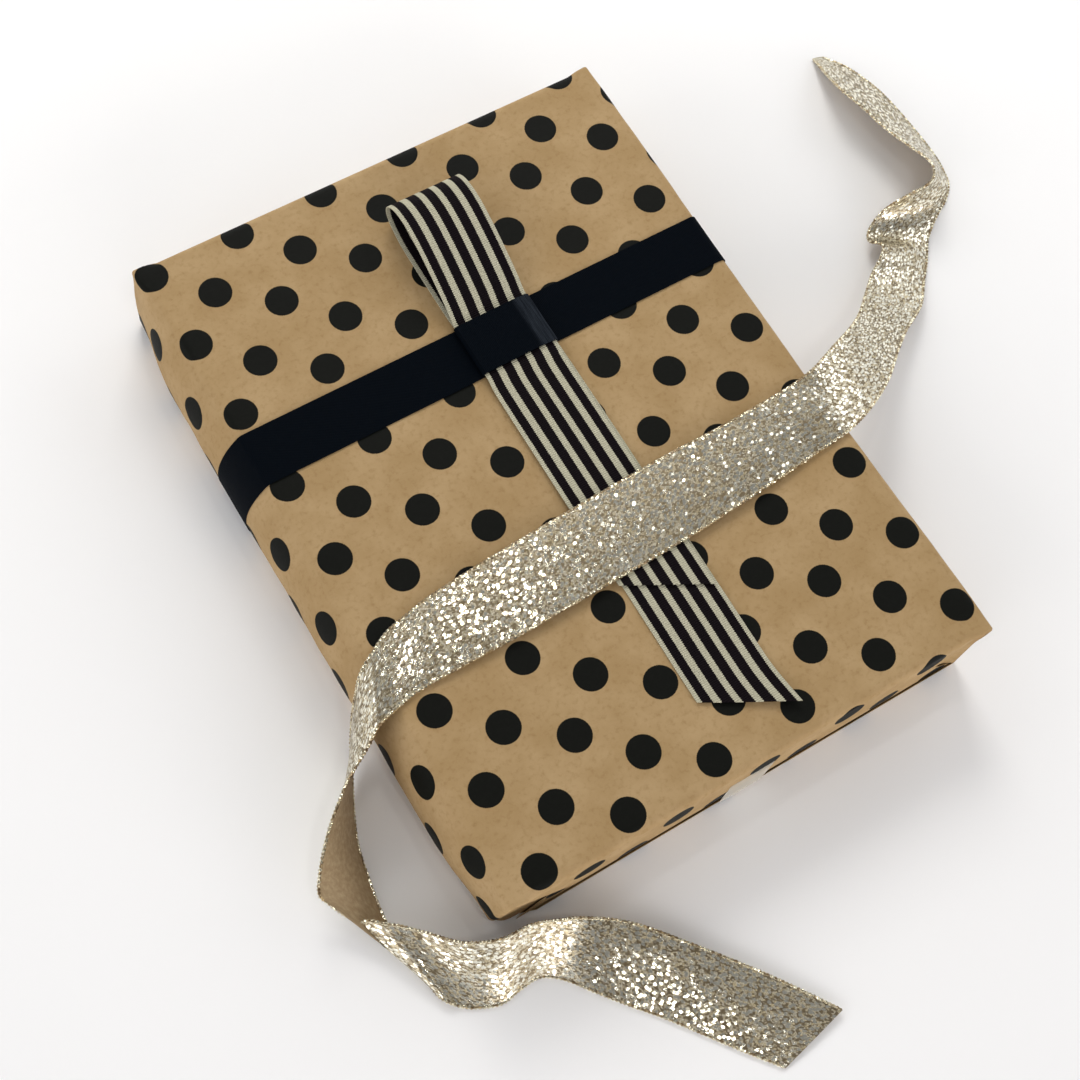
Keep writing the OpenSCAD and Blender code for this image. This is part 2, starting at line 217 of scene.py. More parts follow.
class Nodes:
    """A node material, built up with short calls."""

    def __init__(self, name):
        self.material = bpy.data.materials.new(name)
        self.material.use_nodes = True
        self.tree = self.material.node_tree
        self.tree.nodes.clear()

    def add(self, kind, inputs=(), **settings):
        node = self.tree.nodes.new("ShaderNode" + kind)
        for key, value in settings.items():
            setattr(node, key, value)
        for key, value in dict(inputs).items():
            if isinstance(value, bpy.types.NodeSocket):
                self.tree.links.new(value, node.inputs[key])
            else:
                node.inputs[key].default_value = value
        return node

    def math(self, operation, a, b=0.0):
        return self.add("Math", {0: a, 1: b}, operation=operation).outputs[0]

    def vector(self, operation, a, b=(0, 0, 0)):
        return self.add("VectorMath", {0: a, 1: b}, operation=operation).outputs[0]

    def step(self, value, low, high, to_low=0.0, to_high=1.0):
        """Smooth change from to_low to to_high as value goes from low to high."""
        names = {"Value": value, "From Min": low, "From Max": high, "To Min": to_low, "To Max": to_high}
        return self.add("MapRange", names, interpolation_type="SMOOTHSTEP").outputs[0]

    def mix(self, share, a, b):
        """Colour a where share is 0, b where it is 1."""
        node = self.add("Mix", {0: share}, data_type="RGBA")
        for index, value in ((6, a), (7, b)):
            if isinstance(value, bpy.types.NodeSocket):
                self.tree.links.new(value, node.inputs[index])
            else:
                node.inputs[index].default_value = (*value, 1.0)
        return node.outputs[2]

    def sheet_mm(self):
        """The flat sheet's coordinates in millimetres."""
        uv = self.add("UVMap", uv_map="sheet").outputs[0]
        return self.vector("MULTIPLY", uv, (1000.0, 1000.0, 1000.0))

    def noise(self, place, scale, detail=3.0, rough=0.5):
        return self.add("TexNoise", {"Vector": place, "Scale": scale, "Detail": detail, "Roughness": rough}
                        ).outputs[0]

    def bump(self, height, millimetres, normal=None):
        names = {"Height": height, "Distance": millimetres * MM, "Strength": 1.0}
        if normal is not None:
            names["Normal"] = normal
        return self.add("Bump", names).outputs[0]

    def finish(self, **inputs):
        names = {key.replace("_", " "): value for key, value in inputs.items()}
        colour = names.get("Base Color")
        if isinstance(colour, tuple):
            names["Base Color"] = (*colour, 1.0)
        shader = self.add("BsdfPrincipled", names)
        out = self.add("OutputMaterial")
        self.tree.links.new(shader.outputs[0], out.inputs[0])
        return self.material


KRAFT = (0.355, 0.236, 0.110)
KRAFT_DARK = (0.262, 0.160, 0.064)
KRAFT_LIGHT = (0.425, 0.295, 0.152)
DOT_INK, DOT_WORN = (0.0042, 0.0047, 0.0034), (0.0075, 0.0082, 0.0062)
DOT_ACROSS, DOT_ALONG = 36.62, 33.08
DOT_RADIUS = 6.35
DOT_TURN = math.radians(2.2)
FIRST_DOT = (-78.6, 115.4)
PRINT_SHIFT = (1.2, 1.1)


def kraft_material(name, printed=True):
    """Brown kraft paper with its fibres and clouding, and the staggered dots on the printed side."""
    n = Nodes(name)
    place = n.sheet_mm()
    cloud = n.noise(place, 0.05, 4.0, 0.6)
    mottle = n.noise(place, 0.45, 4.0, 0.62)
    fine = n.noise(place, 2.6, 3.0, 0.6)
    stretched = n.vector("MULTIPLY", place, (0.35, 1.6, 1.0))
    fibre = n.noise(stretched, 0.9, 5.0, 0.7)
    colour = n.mix(n.step(cloud, 0.3, 0.72), KRAFT, KRAFT_LIGHT)
    colour = n.mix(n.step(mottle, 0.46, 0.78, 0.0, 0.55), colour, KRAFT_DARK)
    colour = n.mix(n.step(fine, 0.52, 0.8, 0.0, 0.35), colour, KRAFT_LIGHT)
    colour = n.mix(n.step(fibre, 0.66, 0.74, 0.0, 0.45), colour, KRAFT_DARK)
    rough = 0.72
    if printed:
        start = n.vector("SUBTRACT", place, (*FIRST_DOT, 0.0))
        turned = n.add("VectorRotate", {"Vector": start, "Angle": -DOT_TURN},
                       rotation_type="Z_AXIS").outputs[0]
        pitch = (DOT_ACROSS, DOT_ALONG, 1.0)
        odd = (DOT_ACROSS / 2 + PRINT_SHIFT[0], DOT_ALONG / 2 + PRINT_SHIFT[1], 0.0)
        nearest = []
        for shift in ((0.0, 0.0, 0.0), odd):
            moved = n.vector("SUBTRACT", turned, shift)
            cell = n.vector("ADD", n.vector("DIVIDE", moved, pitch), (0.5, 0.5, 0.0))
            within = n.vector("SUBTRACT", n.vector("FRACTION", cell), (0.5, 0.5, 0.0))
            flat = n.vector("MULTIPLY", n.vector("MULTIPLY", within, pitch), (1.0, 1.0, 0.0))
            nearest.append(n.add("VectorMath", {0: flat}, operation="LENGTH").outputs["Value"])
        away = n.math("MINIMUM", nearest[0], nearest[1])
        ragged = n.math("ADD", away, n.step(fine, 0.2, 0.8, -0.09, 0.09))
        ink = n.step(ragged, DOT_RADIUS + 0.12, DOT_RADIUS - 0.12)
        worn = n.mix(n.step(mottle, 0.4, 0.8, 0.0, 0.35), DOT_INK, DOT_WORN)
        colour = n.mix(ink, colour, worn)
        rough = n.step(ink, 0.0, 1.0, 0.72, 0.6)
    grain = n.math("ADD", n.math("MULTIPLY", fine, 0.5), fibre)
    return n.finish(Base_Color=colour, Roughness=rough, Normal=n.bump(grain, 0.05),
                    Specular_IOR_Level=0.08)


NAVY = (0.0006, 0.0015, 0.0030)
NAVY_CLOUD = (0.0016, 0.0026, 0.0042)
# the last colour is a painted sheen for the wrap's right slope
NAVY_PAINTED_SHEEN = (0.021, 0.026, 0.034)
NAVY_RIB, NAVY_THREAD = 0.62, 0.45


def navy_material(name, painted_sheen_from=None):
    """Near-black navy grosgrain: fine ribs run across the ribbon.

    Past a length given in millimetres along it, it is painted lighter in streaks: a painted sheen where light
    would catch the wrap's slope.
    """
    n = Nodes(name)
    place = n.sheet_mm()
    split = n.add("SeparateXYZ", {0: place})
    rib = n.math("SINE", n.math("MULTIPLY", split.outputs[1], 2 * math.pi / NAVY_RIB))
    thread = n.math("SINE", n.math("MULTIPLY", split.outputs[0], 2 * math.pi / NAVY_THREAD))
    soft = n.noise(place, 0.35, 3.0, 0.6)
    # the ribs' grooves are painted darker than their crests: painted shade in the grooves
    colour = n.mix(n.step(rib, -1.0, 1.0), NAVY, tuple(2.0 * c for c in NAVY))
    colour = n.mix(n.step(soft, 0.45, 0.8, 0.0, 0.6), colour, NAVY_CLOUD)
    # painted sheen: lighter streaks painted on the wrap's right slope, where light would catch it
    if painted_sheen_from is not None:
        streak = n.noise(n.vector("MULTIPLY", place, (0.09, 1.6, 1.0)), 1.0, 3.0, 0.6)
        reach = n.step(split.outputs[1], painted_sheen_from - 0.7, painted_sheen_from + 2.2)
        painted_sheen = n.math("MULTIPLY", reach, n.step(streak, 0.30, 0.68, 0.25, 1.0))
        colour = n.mix(painted_sheen, colour, NAVY_PAINTED_SHEEN)
    height = n.math("ADD", rib, n.math("MULTIPLY", thread, 0.25))
    return n.finish(Base_Color=colour, Roughness=0.62, Normal=n.bump(height, 0.045),
                    Specular_IOR_Level=0.025)


IVORY, IVORY_DULL, IVORY_GROOVE_SHADE = (0.50, 0.48, 0.36), (0.40, 0.38, 0.275), (0.25, 0.235, 0.165)
STRIPE_BLACK, STRIPE_SHEEN = (0.0036, 0.0020, 0.0030), (0.0065, 0.0040, 0.0058)
STRIPE_PITCH, STRIPE_WIDE, STRIPE_EDGE = 6.18, 3.8, 14.05
OUTER_STRIPE_LESS = 0.22
RIB, YARN = 0.82, 0.5


def striped_material():
    """Ribbed ribbon, five black stripes on ivory, with ivory edges."""
    n = Nodes("striped_grosgrain")
    place = n.sheet_mm()
    split = n.add("SeparateXYZ", {0: place})
    across, length = split.outputs[0], split.outputs[1]
    wave = n.math("SINE", n.math("MULTIPLY", length, 2 * math.pi / RIB))
    weft = n.noise(n.vector("MULTIPLY", place, (0.6, 3.0, 1.0)), 1.0, 2.0, 0.6)
    jag = n.math("ADD", n.math("MULTIPLY", wave, 0.10), n.step(weft, 0.3, 0.7, -0.08, 0.08))
    fold = n.math("PINGPONG", n.math("ABSOLUTE", across), STRIPE_PITCH / 2)
    outer = n.step(n.math("ABSOLUTE", across), 8.5, 10.0, 0.0, OUTER_STRIPE_LESS)
    edge = n.math("ADD", n.math("ADD", fold, jag), outer)
    dark = n.step(edge, STRIPE_WIDE / 2 + 0.1, STRIPE_WIDE / 2 - 0.1)
    inside = n.step(n.math("ADD", n.math("ABSOLUTE", across), jag), STRIPE_EDGE + 0.1, STRIPE_EDGE - 0.1)
    dark = n.math("MULTIPLY", dark, inside)
    mottle = n.noise(place, 0.8, 3.0, 0.6)
    ivory = n.mix(n.step(mottle, 0.35, 0.75, 0.0, 0.5), IVORY, IVORY_DULL)
    # painted shade darkens the ivory in the rib grooves, and the black is painted lighter on the rib crests,
    # a painted sheen
    ivory = n.mix(n.step(wave, -1.0, -0.2, 0.55, 0.0), ivory, IVORY_GROOVE_SHADE)
    black = n.mix(n.step(wave, -0.4, 1.0), STRIPE_BLACK, STRIPE_SHEEN)
    yarn = n.math("SINE", n.math("MULTIPLY", across, 2 * math.pi / YARN))
    height = n.math("ADD", wave, n.math("MULTIPLY", yarn, 0.2))
    return n.finish(Base_Color=n.mix(dark, ivory, black), Roughness=0.68, Normal=n.bump(height, 0.07),
                    Specular_IOR_Level=0.05)


GLITTER_CELL, FLAKE_CELL = 0.55, 1.42


def glitter_material(name, cell, tilt, colours, rough, flakes=0.0):
    """Metallic yarn in small facets, each tilted its own way, with darker gaps between them.

    flakes is the share of places that carry a larger, smoother flake, painted near white as a painted glint,
    that also glints on its own.
    """
    n = Nodes(name)
    place = n.sheet_mm()
    wander = n.add("TexNoise", {"Vector": place, "Scale": 0.9, "Detail": 2.0}).outputs[1]
    centred = n.vector("SUBTRACT", wander, (0.5, 0.5, 0.5))
    bent = n.vector("ADD", place, n.vector("MULTIPLY", centred, (0.9, 0.9, 0.0)))
    scaled = n.vector("MULTIPLY", bent, (1.0 / cell, 0.72 / cell, 0.0))
    facets = n.add("TexVoronoi", {"Vector": scaled, "Scale": 1.0}, voronoi_dimensions="2D")
    gaps = n.add("TexVoronoi", {"Vector": scaled, "Scale": 1.0}, voronoi_dimensions="2D",
                 feature="DISTANCE_TO_EDGE").outputs["Distance"]
    own = n.add("SeparateXYZ", {0: facets.outputs["Color"]})
    gold, silver, deep, glint = colours
    colour = n.mix(own.outputs[0], gold, silver)
    colour = n.mix(n.step(own.outputs[1], 0.38, 0.76, 0.0, 0.88), colour, deep)
    colour = n.mix(n.step(gaps, 0.0, 0.16, 0.75, 0.0), colour, deep)
    half = (0.5, 0.5, 0.5)
    lean = n.add("VectorMath", {0: n.vector("SUBTRACT", facets.outputs["Color"], half), "Scale": tilt},
                 operation="SCALE").outputs[0]
    if flakes:
        spaced = n.vector("MULTIPLY", bent, (1.0 / FLAKE_CELL, 0.8 / FLAKE_CELL, 0.0))
        spots = n.add("TexVoronoi", {"Vector": spaced, "Scale": 1.0}, voronoi_dimensions="2D")
        kind = n.add("SeparateXYZ", {0: spots.outputs["Color"]})
        chosen = n.step(kind.outputs[0], 1 - flakes - 0.02, 1 - flakes + 0.02)
        disc = n.math("MULTIPLY", chosen, n.step(spots.outputs["Distance"], 0.44, 0.36))
        spread = n.step(kind.outputs[1], 0.45, 0.75, 0.05, 0.42)
        own_lean = n.add("VectorMath", {0: n.vector("SUBTRACT", spots.outputs["Color"], half),
                                        "Scale": spread}, operation="SCALE").outputs[0]
        lean = n.add("Mix", {0: disc, 4: lean, 5: own_lean}, data_type="VECTOR").outputs[1]
        # the flakes are also painted near white, a painted glint that shows under any light, besides the real
        # glints of their smooth tilt
        colour = n.mix(disc, colour, glint)
        rough = n.step(disc, 0.0, 1.0, rough, 0.12)
    surface = n.add("NewGeometry").outputs["Normal"]
    normal = n.vector("NORMALIZE", n.vector("ADD", surface, lean))
    ridge = n.bump(gaps, 0.02, normal)
    return n.finish(Base_Color=colour, Metallic=0.9, Roughness=rough, Normal=ridge)


BACK_DARK, BACK_LIGHT, BACK_GAP = (0.36, 0.25, 0.13), (0.50, 0.38, 0.22), (0.20, 0.13, 0.06)
BACK_WARP, BACK_WEFT = 0.55, 0.48


def tan_back_material():
    """The glitter ribbon's plain woven back."""
    n = Nodes("ribbon_back")
    place = n.sheet_mm()
    split = n.add("SeparateXYZ", {0: place})
    warp = n.math("SINE", n.math("MULTIPLY", split.outputs[0], 2 * math.pi / BACK_WARP))
    weft = n.math("SINE", n.math("MULTIPLY", split.outputs[1], 2 * math.pi / BACK_WEFT))
    weave = n.math("MULTIPLY", warp, weft)
    mottle = n.noise(place, 0.5, 4.0, 0.65)
    colour = n.mix(n.step(mottle, 0.35, 0.7), BACK_DARK, BACK_LIGHT)
    colour = n.mix(n.step(weave, -1.0, 1.0, 0.35, 0.0), colour, BACK_GAP)
    return n.finish(Base_Color=colour, Roughness=0.5, Metallic=0.15, Normal=n.bump(weave, 0.05))


def plain_material(name, low, high, rough, scale, alpha=None):
    """Board, tissue, tape or glue: a faintly clouded plain surface with a fine tooth."""
    n = Nodes(name)
    place = n.vector("MULTIPLY", n.add("TexCoord").outputs["Object"], (1000.0, 1000.0, 1000.0))
    cloud = n.noise(place, scale, 4.0, 0.6)
    fine = n.noise(place, scale * 12, 2.0, 0.6)
    inputs = {} if alpha is None else {"Alpha": alpha}
    return n.finish(Base_Color=n.mix(n.step(cloud, 0.3, 0.7), low, high), Roughness=rough,
                    Normal=n.bump(fine, 0.02), **inputs)


KRAFT_FACE = kraft_material("kraft_printed")
KRAFT_BACK = kraft_material("kraft_back", printed=False)
NAVY_CLOTH = navy_material("navy_grosgrain")
STRIPED_CLOTH = striped_material()
CHAMPAGNE = ((0.57, 0.48, 0.30), (0.72, 0.68, 0.56), (0.15, 0.11, 0.06), (0.97, 0.94, 0.80))
GLITTER_FACE = glitter_material("glitter_face", GLITTER_CELL, 0.22, CHAMPAGNE, 0.42, flakes=0.66)
CORD_GOLD = ((0.50, 0.37, 0.19), (0.84, 0.77, 0.58), (0.15, 0.095, 0.045), (0.97, 0.92, 0.70))
CORD = glitter_material("glitter_cord", 0.9, 0.5, CORD_GOLD, 0.34, flakes=0.75)
TAN_BACK = tan_back_material()
BOARD = plain_material("folding_board", (0.74, 0.70, 0.63), (0.80, 0.77, 0.70), 0.7, 0.06)
TISSUE = plain_material("tissue_paper", (0.84, 0.83, 0.80), (0.90, 0.89, 0.87), 0.65, 0.05)
TAPE = plain_material("clear_tape", (0.72, 0.68, 0.58), (0.78, 0.74, 0.64), 0.35, 0.08, alpha=0.45)
GLUE = plain_material("glue_dot", (0.80, 0.78, 0.70), (0.86, 0.84, 0.78), 0.25, 0.2)


# ------------------------------------------------------------------ the kraft paper

CORNER_R, EAR_R, FOOT_R = 3.0, 1.1, 2.0
CORNER_IN, EAR_IN = 4.0, 0.4
SWELL_Z = 14.0
SLACK = 3.2
FOOT_OVERLAP = 25.0
SEAM_X = 20.0
PAPER_THICK = 0.2
EAR_REACH = 1.1
HOLLOW = (29.6, 100.4, 0.8)
RIM_Y = END_Y - 0.35
RIM_TOP_R, RIM_SIDE_R, RIM_EAR_R = 3.8, 2.2, 0.9
SLOPE_END = 4.5


def swell_at(y):
    """How far the loose left wall stands out: full in the middle, pulled in at both ends."""
    near = 3.2 + (SWELL - 3.4) * smoothstep((y + END_Y) / 42.0) + 0.5 * smoothstep((y + 60) / 40.0)
    far = 1.9 + (SWELL + 0.4 - 1.9) * smoothstep((END_Y - y) / 44.0)
    return min(near, far)


def slack_at(y):
    """How far the right top edge stands out: nothing in the middle, growing towards the near end."""
    return SLACK * min(max((-y - 20.0) / 118.0, 0.0), 1.0) ** 0.8


def ear_at(y):
    """0 along the parcel, 1 at either end, where the fold makes the top corners sharp."""
    return smoothstep((abs(y) - 120.0) / 15.0)


def arc(centre, radius, a0, a1, count):
    angles = np.radians(np.linspace(a0, a1, count))
    return np.stack([centre[0] + radius * np.cos(angles), centre[1] + radius * np.sin(angles)], -1)


def section(y, grow=0.0):
    """Points round the parcel at y, grown by grow, and their flat coordinate across the sheet.

    They start at the seam under the box, go out to the swollen left side, over the top and back.
    The coordinate is X on the top face.
    """
    ear, slack = ear_at(y), slack_at(y)
    left_r = CORNER_R + (EAR_R - CORNER_R) * ear
    right_r = (CORNER_R + 0.45 * slack) * (1 - ear) + EAR_R * ear
    top_left = np.array([CORNER_IN + (EAR_IN - CORNER_IN) * ear - HALF_W, TOP - left_r])
    right_out = 0.8 * slack + ear * (0.2 * slack + 0.9)
    top_right = np.array([HALF_W - CORNER_R + right_out, TOP - right_r])
    foot_right = np.array([HALF_W - FOOT_R, FOOT_R])
    reach = top_left[0] + HALF_W + swell_at(y)
    rise = top_left[1] - SWELL_Z
    radius = (reach ** 2 - left_r ** 2 + rise ** 2) / (2 * (reach - left_r))
    centre = np.array([radius - HALF_W - swell_at(y), SWELL_Z])
    foot_x = centre[0] - math.sqrt((radius - FOOT_R) ** 2 - (SWELL_Z - FOOT_R) ** 2)
    foot_left = np.array([foot_x, FOOT_R])
    up = math.degrees(math.atan2(*(top_left - centre)[::-1]))
    down = 360 + math.degrees(math.atan2(*(foot_left - centre)[::-1]))
    share = smoothstep(np.linspace(0, 1, 12))[1:]
    wall_x = top_right[0] + right_r + (foot_right[0] + FOOT_R - top_right[0] - right_r) * share
    wall_z = top_right[1] + (FOOT_R - top_right[1]) * np.linspace(0, 1, 12)[1:]
    start = SEAM_X + FOOT_OVERLAP
    parts = [
        np.array([[x, -grow + 0.3] for x in np.linspace(start, SEAM_X - 1, 5)]),
        np.array([[x, -grow] for x in np.linspace(SEAM_X - 8, foot_x + 2, 10)]),
        arc(foot_left, FOOT_R + grow, 270, down, 5),
        arc(centre, radius + grow, down, up, 18)[1:],
        arc(top_left, left_r + grow, up, 90, 7)[1:],
        np.array([[x, TOP + grow] for x in np.linspace(top_left[0], top_right[0], 56)[1:]]),
        arc(top_right, right_r + grow, 90, 0, 7)[1:],
        np.stack([wall_x + grow, wall_z], -1),
        arc(foot_right, FOOT_R + grow, 0, -90, 5)[1:],
        np.array([[x, -grow] for x in np.linspace(foot_right[0], SEAM_X, 9)[1:]]),
    ]
    points = np.concatenate(parts)
    s = lengths(points)
    middle = np.argmin(np.abs(points[:, 0]) + (points[:, 1] < TOP / 2) * 1000)
    across = s - s[middle] + points[middle, 0]
    return points, across, np.cumsum([len(p) for p in parts])


def bottom_lift(y):
    """The underside's shallow hollow along the band's travel."""
    return HOLLOW[2] * smoothstep((y - HOLLOW[0]) / 1.2) * smoothstep((HOLLOW[1] - y) / 1.2)


def crumple(u, v, seed, size):
    """Small height of creased paper at a place on the flat sheet, from -1 to 1."""
    a = noise.noise(Vector((u / size, v / size, seed)))
    b = noise.noise(Vector((u / size * 2.3, v / size * 2.3, seed + 7.0)))
    return a + 0.45 * (1 - 2 * abs(b))


def rim_radius(x, top):
    """Radius of the paper's turn over the end: soft over the lid, tight at the corners and walls."""
    corner = smoothstep((np.abs(x) - 92.0) / 5.0)
    soft = RIM_TOP_R + (RIM_EAR_R - RIM_TOP_R) * corner
    return RIM_SIDE_R + (soft - RIM_SIDE_R) * top


def paper_grid():
    """The paper's tube round the box, its ends rounded over towards the end folds."""
    rows = [(y, 0.0) for y in sorted([*np.linspace(-133.2, 133.2, 69), 29.4, 30.9, 99.2, 100.6])]
    for k in range(7):
        rows.append((RIM_Y, k / 6))
        rows.insert(0, (-RIM_Y, k / 6))
    points, coords = [], []
    for y, turn_share in rows:
        p, u, counts = section(y)
        index = np.arange(len(p))
        top = smoothstep((p[:, 1] - TOP + 3.2) / 3.0)
        turned = abs(y) > 137
        r = rim_radius(p[:, 0], top) if turned else np.zeros(len(p))
        mostly_top = top * smoothstep((95.0 - np.abs(p[:, 0])) / 3.0)
        turn = turn_share * np.radians(87.0 - 52.0 * mostly_top)
        drop = r * (1 - np.cos(turn))
        y_at = np.sign(y) * (abs(y) - r + r * np.sin(turn))
        v = np.sign(y) * (abs(y) - r + r * turn)
        tangent = np.gradient(p, axis=0)
        out = np.stack([-tangent[:, 1], tangent[:, 0]], -1)
        out /= np.linalg.norm(out, axis=1, keepdims=True)
        p = p - out * drop[:, None]
        x, z = p[:, 0], p[:, 1]
        hollow = bottom_lift(y)
        low = z < hollow + 0.35
        z[low] = np.maximum(z[low], hollow + np.where(index[low] < 5, 0.3, 0.0))
        flat_top = smoothstep((z - TOP + 1.0) / 0.9)
        left = smoothstep((-94 - x) / 4.0) * smoothstep(z / 4.0) * (1 - flat_top)
        right = smoothstep((x - 98) / 2.0) * smoothstep(z / 4.0) * (1 - flat_top)
        quiet = 1 - smoothstep(1 - abs(y - 47.5) / 24.0) * 0.8
        free = (flat_top * 0.16 + left * 0.55 + right * 0.3) * quiet
        far_edge = smoothstep((y - 105) / 30.0) * flat_top * 0.10
        bumps = np.array([crumple(a, b, 3.0, 34.0) for a, b in zip(u, v)]) * free
        bumps += np.array([crumple(a, b * 0.6, 21.0, 12.0) for a, b in zip(u, v)]) * far_edge
        p = p + out * bumps[:, None]
        pull = SLOPE_END * smoothstep((-90 - x) / 10.0) * (1 - np.clip(z / TOP, 0, 1)) ** 1.2
        shift = pull * smoothstep((-y - 108) / 30.0)
        ear = smoothstep((-y - 126) / 10.0) * smoothstep((x - 93.0) / 7.0) * smoothstep((z - 22.0) / 14.0)
        shift = shift - EAR_REACH * ear
        points.append(np.stack([p[:, 0], y_at + shift, p[:, 1]], -1))
        coords.append(np.stack([u, v], -1))
    return np.array(points), np.array(coords), counts


PAPER_GRID, PAPER_COORDS, PAPER_COUNTS = paper_grid()
FLAP_HALF = HALF_W - 2.3
FLAP_ROWS, FLAP_BEND = 26, 8
FLAP_START = 8.0
LAP_GAP, BURIED = 0.06, 0.14
# How far behind the outer flap the other layers of an end lie.
WEB_BEHIND, INNER_BEHIND, TUCK_BEHIND = 0.3, 0.9, 1.75
TUCK_REACH = 74.0


def outer_flap(end):
    """The end's last fold: it turns over the lid's edge and lies down the end, with slanted sides."""
    columns = np.linspace(-1, 1, 61)
    r = rim_radius(columns * FLAP_HALF, 1.0)
    grid, coords = [], []
    for k in range(FLAP_ROWS):
        gap = LAP_GAP - (LAP_GAP + BURIED) * max(1 - k / 2.4, 0.0)
        tip = min(FLAP_START + (90.0 - FLAP_START) * k / FLAP_BEND, 90.0)
        if k <= FLAP_BEND:
            turn = math.radians(tip)
            y = RIM_Y - r + r * math.sin(turn)
            z = TOP - r * (1 - math.cos(turn))
            v = RIM_Y - r + r * turn
        else:
            share = (k - FLAP_BEND) / (FLAP_ROWS - 1 - FLAP_BEND)
            y = np.full(len(r), RIM_Y)
            z = (TOP - r) + (OUTER_LOW[2] - TOP + r) * share
            v = RIM_Y - r + r * math.pi / 2 + (TOP - r - z)
        wide = np.minimum(FLAP_HALF, FLAP_HALF + 1.0 - np.maximum(TOP - 0.4 - z, 0.0))
        x = columns * wide
        belly = 0.25 * np.sin(math.pi * np.clip((TOP - 5 - z) / 24.0, 0, 1)) * (1 - columns ** 4)
        lift_y, lift_z = gap * math.sin(math.radians(tip)), gap * math.cos(math.radians(tip))
        grid.append(np.stack([x, end * (y + lift_y + belly), z + lift_z], -1))
        coords.append(np.stack([x, end * v], -1))
    parts = [shell_parts(np.array(grid), np.array(coords), PAPER_THICK, flip=end > 0)]
    # the web of paper folded back behind each slanted side
    for side in (-1, 1):
        grid, coords = [], []
        for z in np.linspace(TOP - 3.0, OUTER_LOW[2] + 0.4, 12):
            wide = FLAP_HALF + 1.0 - (TOP - 0.4 - z)
            x = side * np.linspace(wide - 0.5, wide - 0.5 - (wide - 70.0) * 0.9, 6)
            same = np.ones(len(x))
            grid.append(np.stack([x, end * (RIM_Y - WEB_BEHIND) * same, z * same], -1))
            coords.append(np.stack([side * (HALF_W + TOP - z) * same, end * (RIM_Y + np.abs(x) / 2)], -1))
        parts.append(shell_parts(np.array(grid), np.array(coords), PAPER_THICK, flip=(end > 0) == (side > 0)))
    return parts


def inner_flap(end):
    """The flap that comes up from under the box, behind the outer one."""
    crease = 1.6
    columns = np.linspace(-1, 1, 41)
    cut = np.where(columns < 0, SLOPE_END - 2.0, 0.0) if end < 0 else 0.0
    same = np.ones(len(columns))
    grid, coords = [], []
    for z in np.linspace(crease, INNER_HIGH[2], 14):
        x = columns * (HALF_W - 2.4 - (z - 0.4) - cut)
        grid.append(np.stack([x, end * (RIM_Y - INNER_BEHIND) * same, z * same], -1))
        coords.append(np.stack([2 * HALF_W + TOP - x, end * (RIM_Y + z) * same], -1))
    return [shell_parts(np.array(grid), np.array(coords), PAPER_THICK, flip=end < 0)]


def side_tuck(end, side):
    """A side wall's paper folded in flat against the box's end, behind the flaps."""
    row = 0 if end < 0 else -1
    first, last = (PAPER_COUNTS[2], PAPER_COUNTS[4]) if side < 0 else (PAPER_COUNTS[6], PAPER_COUNTS[8])
    lip, coord = PAPER_GRID[row, first:last], PAPER_COORDS[row, first:last]
    goal = side * TUCK_REACH
    grid, coords = [], []
    for share in (0.0, 0.02, 0.05, 0.09, 0.16, 0.35, 0.65, 1.0):
        x = lip[:, 0] + share * (goal - lip[:, 0])
        hug = RIM_Y - TUCK_BEHIND
        y = end * (hug + (np.abs(lip[:, 1]) - 0.05 - hug) * (1 - share) ** 14)
        z = np.clip(lip[:, 2], 1.2, TOP - 0.9)
        z = z + (np.clip(z, 1.2, TOP - 1.5) - z) * min(share / 0.05, 1.0)
        grid.append(np.stack([x, y, z], -1))
        v = coord[:, 1] + end * np.abs(x - lip[:, 0])
        coords.append(np.stack([coord[:, 0], v], -1))
    return shell_parts(np.array(grid), np.array(coords), PAPER_THICK, flip=(end < 0) != (side < 0))


paper = piece("paper_tube", [shell_parts(PAPER_GRID, PAPER_COORDS, PAPER_THICK, flip=True)],
              [KRAFT_FACE, KRAFT_BACK, KRAFT_BACK], "parcel", ["paper_wrap"])
folds = []
for end, word in ((-1, "near"), (1, "far")):
    for side, other in ((-1, "left"), (1, "right")):
        node = f"{word}_{other}_tuck"
        folds.append(piece(f"{word}_{other}_fold", [side_tuck(end, side)],
                           [KRAFT_FACE, KRAFT_BACK, KRAFT_BACK], "parcel", [node]))
    outer = piece(f"{word}_outer_fold", outer_flap(end), [KRAFT_FACE, KRAFT_BACK, KRAFT_FACE],
                  None, [f"{word}_outer_flap"])
    inner = piece(f"{word}_inner_fold", inner_flap(end), [KRAFT_FACE, KRAFT_BACK, KRAFT_BACK],
                  None, [f"{word}_inner_flap"])
    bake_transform(outer)
    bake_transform(inner)
    folds += [outer, inner]


# ------------------------------------------------------------------ tissue and tapes

TISSUE_COLUMNS, TAPE_COLUMNS = 130, 39
SAW_DEPTH = 0.45


